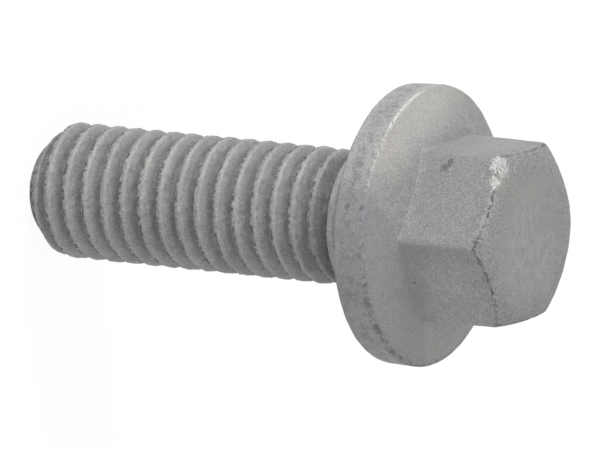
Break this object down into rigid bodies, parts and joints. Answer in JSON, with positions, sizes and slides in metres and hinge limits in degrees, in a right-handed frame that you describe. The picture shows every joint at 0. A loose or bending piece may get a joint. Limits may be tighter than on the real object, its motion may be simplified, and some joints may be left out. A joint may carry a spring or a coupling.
{
  "type": "flange bolt",
  "caption": "Hexagon flange bolt with a coarse right-hand thread and a dull hot-dip galvanised finish.",
  "frame": {"origin": "centre of the bearing face under the flange, on the bolt's axis", "axes": "+Z along the bolt's axis, from the threaded end towards the head"},
  "size_m": [0.016, 0.016, 0.0318],
  "materials": {
    "zinc": "matte"
  },
  "bodies": {
    "root": {"flange_bolt": "zinc"}
  },
  "joints": []
}
